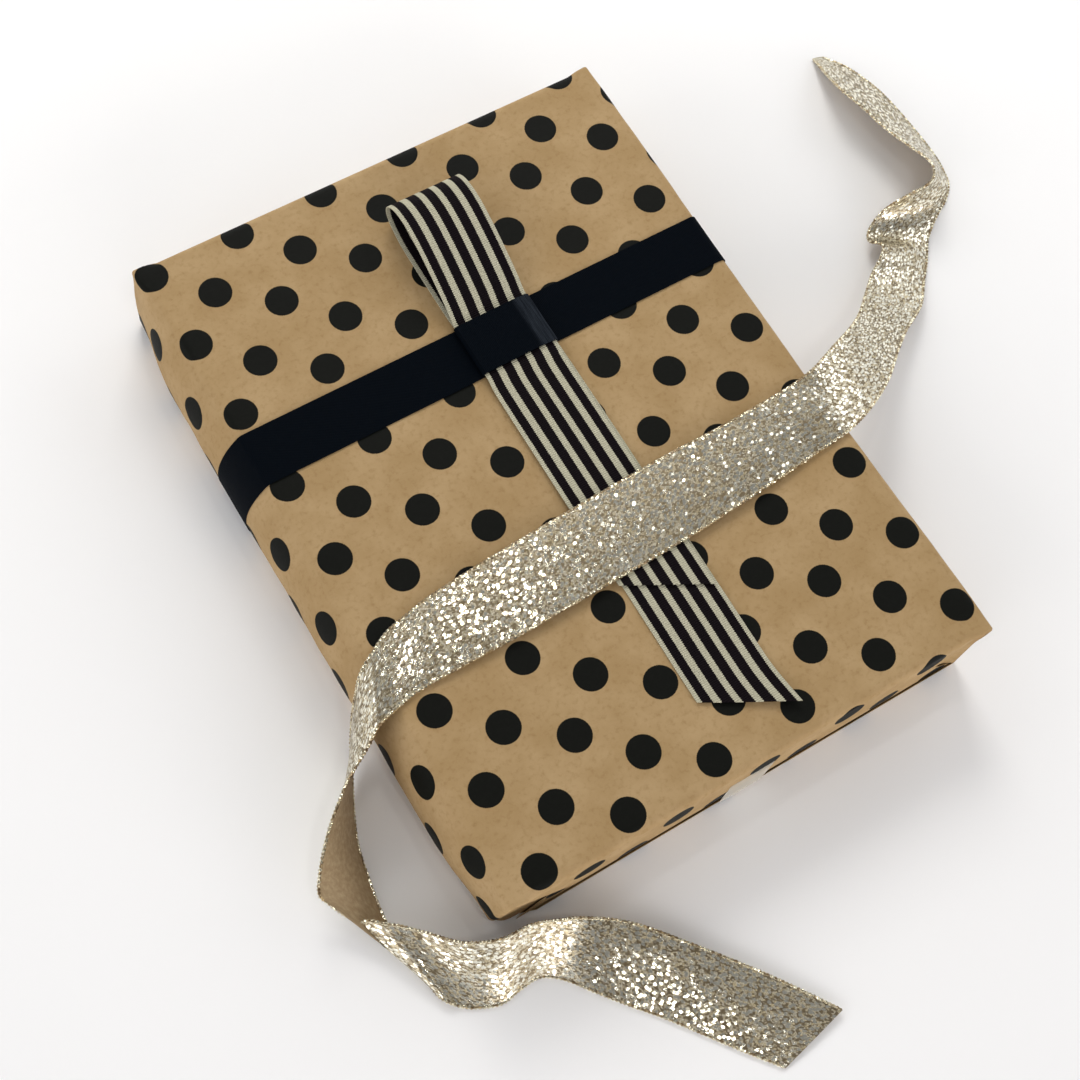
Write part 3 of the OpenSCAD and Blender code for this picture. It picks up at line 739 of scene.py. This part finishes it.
def tissue_parts():
    """A tissue sheet that lines the tray and folds back over itself below the lid."""
    low, high = cad_box("tissue_sheet")
    x0, x1, z0, z1 = low[0] + 0.6, high[0] - 0.6, low[2] + 0.6, high[2] - 0.9
    middle = (x0 + x1) / 2
    ring = [(middle + 22, z1), (x1 - 3, z1), (x1, z1 - 3), (x1, z0 + 3), (x1 - 3, z0), (x0 + 3, z0),
            (x0, z0 + 3), (x0, z1 - 3), (x0 + 3, z1 - 0.7), (middle - 22, z1 - 0.7)]
    line = along(np.array(ring), np.linspace(0, lengths(np.array(ring))[-1], TISSUE_COLUMNS))
    s = lengths(line)
    same = np.ones(TISSUE_COLUMNS)
    grid, coords = [], []
    for y in np.linspace(low[1] + 1, high[1] - 1, 60):
        ripple = np.array([noise.noise(Vector((a / 14.0, y / 14.0, 5.0))) for a in s]) * 0.25
        grid.append(np.stack([line[:, 0], y * same, line[:, 1] + ripple], -1))
        coords.append(np.stack([s, y * same], -1))
    return shell_parts(np.array(grid), np.array(coords), 0.15), (s[-1], high[1] - low[1] - 2)


tissue_mesh, tissue_size = tissue_parts()
tissue = piece("tissue_lining", [tissue_mesh], [TISSUE], "parcel", ["tissue_sheet"])


def tape_parts(node):
    """A strip of tape with the saw-toothed ends that a dispenser leaves."""
    low, high = cad_box(node)
    xs = np.linspace(low[0], high[0], TAPE_COLUMNS)
    saw = SAW_DEPTH * np.abs((np.arange(TAPE_COLUMNS) % 4) / 2.0 - 1.0)
    y = (low[1] + high[1]) / 2
    grid = [np.stack([xs, np.full(TAPE_COLUMNS, y), z + sign * saw], -1)
            for z, sign in [(low[2], 1)] + [(z, 0) for z in np.linspace(low[2] + 1, high[2] - 1, 8)]
            + [(high[2], -1)]]
    coords = [np.stack([xs, row[:, 2]], -1) for row in grid]
    return shell_parts(np.array(grid), np.array(coords), 0.1, flip=y > 0)


for word in ("near", "far"):
    piece(f"{word}_tape_strip", [tape_parts(f"{word}_end_tape")], [TAPE], f"{word}_outer",
          [f"{word}_end_tape"])
for node, material in (("box_base", BOARD), ("box_lid", BOARD), ("seam_tape", TAPE),
                       ("band_joint_tape", TAPE), ("glue_dot", GLUE)):
    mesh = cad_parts[node].data
    mesh.materials.clear()
    mesh.materials.append(material)


# ------------------------------------------------------------------ navy band and centre wrap

RIBBON_COLUMNS = 13


def band_grid():
    """The band: once round the parcel, its ends lapped underneath."""
    middle = (BAND_LOW[1] + BAND_HIGH[1]) / 2
    p, _, counts = section(middle, 0.45)
    p[:, 1] = np.maximum(p[:, 1], 0.3)
    ring = np.concatenate([p[5:counts[-1]], [[SEAM_X, 0.3]]])
    lap = np.array([[-44.0, 0.3], [-60.0, 0.3], [-90.0, 0.3]])
    keep = [q for q in ring if not (q[1] < 0.5 and -95 < q[0] < SEAM_X + 1)]
    tail = np.array([[10.0, 0.3], [-20.0, 0.3], [-42.0, 0.3], [-45.0, 0.62], [-70.0, 0.62]])
    line = np.concatenate([lap, keep, tail])
    s = lengths(line)
    fine = np.sort(np.concatenate([s, np.linspace(0, s[-1], 160)]))
    fine = fine[np.concatenate([[True], np.diff(fine) > 0.05])]
    line = along(line, fine)
    grid, coords = [], []
    ys = np.linspace(BAND_LOW[1], BAND_HIGH[1], RIBBON_COLUMNS)
    same = np.ones(RIBBON_COLUMNS)
    for q, t in zip(line, fine):
        grid.append(np.stack([q[0] * same, ys, q[1] * same], -1))
        coords.append(np.stack([ys - middle, t * same], -1))
    return np.array(grid), np.array(coords), fine[-1]


band_points, band_coords, band_length = band_grid()
band = piece("navy_ribbon_band", [shell_parts(band_points, band_coords, 0.3)], [NAVY_CLOTH],
             "band", ["navy_band"])


def wrap_grid():
    """The short navy wrap round the gathered ribbon, a little lower at its right side."""
    x0, x1 = WRAP_LOW[0] + 0.2, WRAP_HIGH[0] - 0.2
    z0, z1 = WRAP_LOW[2] + 0.2, WRAP_HIGH[2] - 0.05
    ring = [(x0 + 6, z0), (x0 + 1.2, z0), (x0 + 0.1, z0 + 0.5), (x0, z0 + 1.3), (x0 + 0.8, z1 - 0.25),
            (x0 + 3, z1), (x1 - 9, z1 + 0.1), (x1 - 6.0, z1), (x1 - 3.0, z1 - 0.28), (x1 - 0.9, z1 - 0.62),
            (x1, z1 - 1.2), (x1, z0 + 0.6), (x1 - 1.0, z0), (x1 - 8, z0), (x0 + 16, z0)]
    line = catmull(ring, 6)
    line = np.concatenate([line, [[x0 + 6.2, z0]]])
    s = lengths(line)
    grid, coords = [], []
    ys = np.linspace(WRAP_LOW[1], WRAP_HIGH[1], RIBBON_COLUMNS)
    same = np.ones(RIBBON_COLUMNS)
    for q, t in zip(line, s):
        bow = 0.12 * (1 - ((ys - ys.mean()) / 11.0) ** 2) * (1.0 if q[1] > z0 + 1.5 else 0.0)
        grid.append(np.stack([q[0] * same, ys, q[1] + bow], -1))
        coords.append(np.stack([ys - ys.mean(), t * same], -1))
    return np.array(grid), np.array(coords), s[-1]


wrap_points, wrap_coords, wrap_length = wrap_grid()
# the wrap's painted sheen starts 7.5 mm in from its right side, on top
on_top = wrap_points[:, 0, 2] > WRAP_HIGH[2] - 0.7
painted_sheen = float(np.interp(WRAP_HIGH[0] - 7.5, wrap_points[on_top, 0, 0], wrap_coords[on_top, 0, 1]))
WRAP_CLOTH = navy_material("navy_wrap_grosgrain", painted_sheen)
wrap = piece("navy_ribbon_wrap", [shell_parts(wrap_points, wrap_coords, 0.32)], [WRAP_CLOTH],
             "band", ["centre_wrap"])


# ------------------------------------------------------------------ striped ribbon

STRIPED_WIDE = 31.2
STRIPED_THICK = 0.42
CUT = math.tan(math.radians(28))
LOWER_CUT = math.tan(math.radians(30.5))
WRAP_MIDDLE = (WRAP_LOW[1] + WRAP_HIGH[1]) / 2


def striped_parts(path, centres, cut_start=None, droop=0.0, slant=CUT):
    """A length of striped ribbon along a path in Y and Z.

    centres gives its middle X at each path point. A cut of that slant ends it where cut_start says
    its left corner is. In the wrap its right edge is pressed down by droop.
    """
    line = catmull(np.column_stack([path, centres]), 8)
    s = lengths(line[:, :2])
    across = np.linspace(-STRIPED_WIDE / 2, STRIPED_WIDE / 2, 21)
    if cut_start is None:
        ends = np.full(len(across), s[-1])
    else:
        left = np.interp(-cut_start, -line[:, 0], s) if line[-1, 0] < line[0, 0] else s[-1]
        ends = left + (across + STRIPED_WIDE / 2) * slant
    rows = max(int(s[-1] / 1.6), 8)
    grid, coords = [], []
    for k in range(rows + 1):
        distance = ends * k / rows
        q = np.stack([np.interp(distance, s, line[:, c]) for c in range(3)], -1)
        held = smoothstep(1.7 - np.abs(q[:, 0] - WRAP_MIDDLE) / 14.0)
        press = droop * held * smoothstep((across - 8.0) / 7.6)
        grid.append(np.stack([q[:, 2] + across, q[:, 0], q[:, 1] - press], -1))
        coords.append(np.stack([across, distance], -1))
    return np.array(grid), np.array(coords), float(ends.mean())


mid_upper = UPPER_HIGH[2] - STRIPED_THICK / 2 - 0.02
mid_lower = LOWER_HIGH[2] - STRIPED_THICK / 2 - 0.02
lie_upper = UPPER_LOW[2] + STRIPED_THICK / 2 + 0.04
lie_lower = LOWER_LOW[2] + STRIPED_THICK / 2 + 0.02
wrap_near, wrap_far = WRAP_LOW[1], WRAP_HIGH[1]
centre_x = (UPPER_LOW[0] + UPPER_HIGH[0]) / 2

upper_path = [(wrap_far - 1.5, mid_upper), (wrap_near + 6, mid_upper), (wrap_near - 2, mid_upper - 0.15),
              (wrap_near - 7, lie_upper + 0.45), (wrap_near - 14, lie_upper), (0, lie_upper),
              (-30, lie_upper), (-55, lie_upper), (-66, lie_upper + 0.02), (-80, lie_upper + 0.05)]
upper_x = [centre_x - 0.1] * 3 + [centre_x - 0.4] * (len(upper_path) - 3)
points, coords, length = striped_parts(upper_path, upper_x, cut_start=-58.5, droop=0.5)
upper = piece("striped_upper", [shell_parts(points, coords, STRIPED_THICK)], [STRIPED_CLOTH],
              "band", ["striped_upper_tail"])

lower_path = [(wrap_far - 1.5, mid_lower), (wrap_near + 6, mid_lower), (wrap_near - 2, mid_lower - 0.1),
              (wrap_near - 7, lie_lower + 0.4), (wrap_near - 14, lie_lower), (0, lie_lower), (-40, lie_lower),
              (-80, lie_lower), (-100, lie_lower + 0.05), (-114, lie_lower + 0.4), (-135, lie_lower + 2.6)]
lower_x = [centre_x + d for d in (0.0, 0.0, 0.2, 0.5, 0.7, 0.8, 0.8, 0.7, 0.6, 0.9, 3.0)]
points, coords, length = striped_parts(lower_path, lower_x, cut_start=-109.0, droop=0.2, slant=LOWER_CUT)
lower = piece("striped_lower", [shell_parts(points, coords, STRIPED_THICK)], [STRIPED_CLOTH],
              None, ["striped_lower_tail", "striped_tail_end"])
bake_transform(lower)

LOOP_SHARES = [(0.15, 0.38), (0.44, 0.78), (0.69, 0.98), (0.87, 0.91), (0.975, 0.60), (0.965, 0.25),
               (0.84, 0.05), (0.65, 0.0), (0.14, 0.0)]
loop_start, loop_reach = LOOP_LOW[1], LOOP_HIGH[1] - LOOP_LOW[1] - 0.4
loop_rise = LOOP_HIGH[2] - lie_lower - 0.3
loop_path = ([(wrap_far - 2.0, mid_upper - 0.1), (loop_start + 1, mid_upper + 0.1)]
             + [(loop_start + a * loop_reach, lie_lower + b * loop_rise) for a, b in LOOP_SHARES]
             + [(loop_start + 1, mid_lower - 0.1), (wrap_far - 2.0, mid_lower)])
loop_x = [centre_x + d for d in (-0.1, 0.0, 0.4, 0.8, 1.2, 1.3, 1.2, 1.0, 0.6, 0.2, 0.1, 0.0, 0.0)]
points, coords, length = striped_parts(loop_path, loop_x)
loop = piece("striped_bow_loop", [shell_parts(points, coords, STRIPED_THICK, flip=True)], [STRIPED_CLOTH],
             None, ["striped_loop"])
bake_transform(loop)


# ------------------------------------------------------------------ glitter ribbon

LIE = 0.6
# Pairs of points on the ribbon's two edges, from its far end to its near one.
GLITTER_EDGES = [
    ((209, 117, LIE), (213, 116, LIE)),
    ((202, 94, 14), (220, 106, LIE)),
    ((205, 79, 15), (225, 92, LIE)),
    ((207, 66, 16), (227, 79, LIE)),
    ((209, 53, 19), (228, 62, LIE)),
    ((211, 43, 21), (228, 51, LIE)),
    ((210, 37, 21), (227, 44, LIE)),
    ((206, 34, 19), (225, 37, LIE)),
    ((196, 35, 15), (219, 31, LIE)),
    ((187, 36, 9), (212, 27, LIE)),
    ((179, 33, 5), (206, 23, LIE)),
    ((175, 28, 6), (201, 19, LIE)),
    ((176, 22, 11), (197, 14, LIE)),
    ((171, 17, 13), (193, 9, LIE)),
    ((163, 12, 13), (187, 3, 2)),
    ((154, 5, 16), (177, -7, 5)),
    ((142, -4, 24), (162, -15, 10)),
    ((131, -10, 31), (150, -23, 16)),
    ((118, -15, 36), (136, -33, 24)),
    ((105, -20, 39.2), (119, -42, 33)),
    ((94, -22, 39.2), (102, -48, 38.9)),
    ((80, -23, 39.5), (84, -50, 39)),
    ((57, -24, 40.3), (54, -53, 40.3)),
    ((34, -24, 40.3), (26, -55, 40.3)),
    ((3, -25, 40.3), (-3, -56, 40.3)),
    ((-38, -27, 40.3), (-42, -57, 40.3)),
    ((-68, -29, 39.5), (-74, -57, 39.5)),
    ((-80, -31, 39), (-89, -57, 39)),
    ((-89, -33, 38.8), (-100, -59, 38.9)),
    ((-97, -37, 38.6), (-108, -61, 37.5)),
    ((-104, -41, 36), (-113, -64, 34)),
    ((-108, -45, 30), (-117, -66, 31)),
    ((-111, -48, 20), (-121, -68, 29)),
    ((-115, -54, 9), (-126, -71, 28)),
    ((-119, -62, 3), (-131, -75, 28)),
    ((-125, -74, LIE), (-137, -80, 26)),
    ((-130, -86, LIE), (-143, -86, 24)),
    ((-133, -100, LIE), (-149, -93, 18)),
    ((-135, -115, LIE), (-151.5, -97.6, 13)),
    ((-134.2, -131.2, LIE), (-150, -101.1, 10)),
    ((-132.8, -140.5, LIE), (-146.7, -107.4, 7.5)),
    ((-132.1, -145.5, 1.2), (-143.4, -111.7, 6)),
    ((-131.5, -148, 2.2), (-140.8, -112.8, 7.6)),
    ((-129.6, -151.1, 2.2), (-136.4, -117, 9)),
    ((-126.4, -154.1, LIE), (-132, -120.7, 10)),
    ((-122, -157, LIE), (-126, -127, 11)),
    ((-114, -160, LIE), (-117, -137, 15)),
    ((-106, -159, LIE), (-106, -143, 20)),
    ((-98, -159, LIE), (-95, -144, 20)),
    ((-91, -164, LIE), (-84, -147, 14)),
    ((-84, -173, LIE), (-74, -151, 9)),
    ((-76, -183, LIE), (-61, -160, 6)),
    ((-66, -195, LIE), (-46, -177, 4)),
    ((-51, -215, LIE), (-28, -200, 3)),
    ((-40, -229, LIE), (-12, -223, 2)),
]
GLITTER_WIDE, GLITTER_THICK = 28.0, 0.34
CORD_R, CORD_TWIST, CORD_STEP, CORD_SIDES = 0.56, 1.5, 0.33, 6
CORD_TIP = np.array([0.4, 0.7, 0.9])
CROWN = 0.35


def glitter_parts():
    """The loose ribbon between its two edges, with a corded selvedge along each."""
    left = catmull([e[0] for e in GLITTER_EDGES], 8)
    right = catmull([e[1] for e in GLITTER_EDGES], 8)
    left[:, 2] = np.maximum(left[:, 2], LIE)
    right[:, 2] = np.maximum(right[:, 2], LIE)
    shares = np.linspace(0, 1, 15)
    grid = left[:, None] * (1 - shares)[None, :, None] + right[:, None] * shares[None, :, None]
    grid[:, :, 2] += CROWN * (1 - (2 * shares - 1) ** 2)[None]
    middle = lengths((left + right) / 2)
    coords = np.stack([np.repeat(((shares - 0.5) * GLITTER_WIDE)[None], len(left), 0),
                       np.repeat(middle[:, None], 15, 1)], -1)
    parts = [shell_parts(grid, coords, GLITTER_THICK)]
    for edge in (left, right):
        s = lengths(edge)
        fine = along(edge, np.arange(0, s[-1], CORD_STEP))
        twist = np.arange(len(fine)) * CORD_STEP
        radius = CORD_R * (1 + 0.30 * np.sin(twist * 2 * math.pi / CORD_TWIST))
        radius[:3] *= CORD_TIP
        radius[-3:] *= CORD_TIP[::-1]
        parts.append(tube_parts(fine, radius, CORD_SIDES, 2))
    return parts, middle[-1]


ribbon_mesh, ribbon_length = glitter_parts()
ribbon = piece("glitter_ribbon_loose", ribbon_mesh, [GLITTER_FACE, TAN_BACK, CORD],
               "loose_ribbon", ["glitter_ribbon"])


# ------------------------------------------------------------------ floor, light and camera

FLOOR_WHITE, FLOOR_CLOUD = (0.93, 0.93, 0.935), (0.91, 0.91, 0.915)
FLOOR_HALF = 1.7


def floor():
    """A plain, very slightly clouded white table."""
    n = Nodes("floor_paint")
    place = n.add("TexCoord").outputs["Object"]
    soft = n.noise(place, 6.0, 2.0)
    colour = n.mix(n.step(soft, 0.3, 0.7, 0.0, 0.15), FLOOR_WHITE, FLOOR_CLOUD)
    material = n.finish(Base_Color=colour, Roughness=0.9, Specular_IOR_Level=0.1)
    corners = [(x * FLOOR_HALF, y * FLOOR_HALF, 0) for x, y in ((-1, -1), (1, -1), (1, 1), (-1, 1))]
    mesh = bpy.data.meshes.new("floor")
    mesh.from_pydata(corners, [], [(0, 1, 2, 3)])
    mesh.materials.append(material)
    obj = bpy.data.objects.new("floor", mesh)
    bpy.context.scene.collection.objects.link(obj)


def area_light(name, direction, distance, size, power, colour):
    """A soft rectangular light that looks at the parcel from that direction."""
    light = bpy.data.lights.new(name, "AREA")
    light.shape, light.size, light.size_y = "RECTANGLE", *size
    light.energy, light.color = power, colour
    obj = bpy.data.objects.new(name, light)
    way = Vector(direction).normalized()
    obj.location = way * distance
    obj.rotation_euler = (-way).to_track_quat("-Z", "Y").to_euler()
    bpy.context.scene.collection.objects.link(obj)


floor()
# name, direction, distance, size, power and colour. The two lamps are small and dim: only the
# smooth flakes of the glitter show them, as glints.
LAMP_AWAY, WINDOW_AWAY = 1.5, 2.6
LIGHTS = [
    ("lamp", (0.17, 0.23, 0.96), LAMP_AWAY, (0.10, 0.10), 1.0, (1.0, 0.97, 0.92)),
    ("near_lamp", (-0.04, -0.37, 0.93), LAMP_AWAY, (0.13, 0.13), 1.25, (1.0, 0.97, 0.93)),
    ("key", (0.32, 0.72, 0.62), 1.35, (0.5, 0.5), 7.4, (1.0, 0.98, 0.94)),
    ("far_window", (-0.30, 0.85, 0.60), WINDOW_AWAY, (2.4, 1.4), 15.0, (1.0, 0.99, 0.97)),
    ("left_window", (-0.95, -0.10, 0.38), WINDOW_AWAY, (2.8, 1.3), 25.0, (1.0, 0.97, 0.96)),
    ("right_window", (0.85, 0.20, 0.50), WINDOW_AWAY, (2.4, 1.2), 13.0, (0.99, 0.99, 1.0)),
    ("near_window", (0.10, -0.92, 0.25), WINDOW_AWAY, (3.4, 1.2), 38.0, (1.0, 0.96, 0.95)),
]
for light_row in LIGHTS:
    area_light(*light_row)


SKY_TINT = (0.97, 0.98, 1.0, 1.0)
SKY_LOW, SKY_HIGH = 0.80, 0.14


def studio_world():
    """A room that is darker overhead than round the horizon."""
    world = bpy.data.worlds.new("studio")
    world.use_nodes = True
    tree = world.node_tree
    place = tree.nodes.new("ShaderNodeTexCoord")
    split = tree.nodes.new("ShaderNodeSeparateXYZ")
    fade = tree.nodes.new("ShaderNodeMapRange")
    fade.interpolation_type = "SMOOTHSTEP"
    for key, value in (("From Min", 0.0), ("From Max", 0.95), ("To Min", SKY_LOW), ("To Max", SKY_HIGH)):
        fade.inputs[key].default_value = value
    background = tree.nodes["Background"]
    background.inputs[0].default_value = SKY_TINT
    tree.links.new(place.outputs["Generated"], split.inputs[0])
    tree.links.new(split.outputs[2], fade.inputs[0])
    tree.links.new(fade.outputs[0], background.inputs[1])
    bpy.context.scene.world = world


studio_world()

# The camera was solved from the parcel's edges and its dots in the photograph.
FOCAL_MM, SENSOR_MM = 61.83, 36.0
CAMERA_PLACE = (-0.2047, -0.2133, 0.6557)
CAMERA_TURN = (22.047, -5.491, -31.249)
camera_data = bpy.data.cameras.new("camera")
camera_data.lens, camera_data.sensor_width = FOCAL_MM, SENSOR_MM
camera = bpy.data.objects.new("camera", camera_data)
camera.location = CAMERA_PLACE
camera.rotation_euler = Euler([math.radians(a) for a in CAMERA_TURN])
bpy.context.scene.collection.objects.link(camera)
bpy.context.scene.camera = camera
bpy.context.scene.view_settings.view_transform = "Standard"
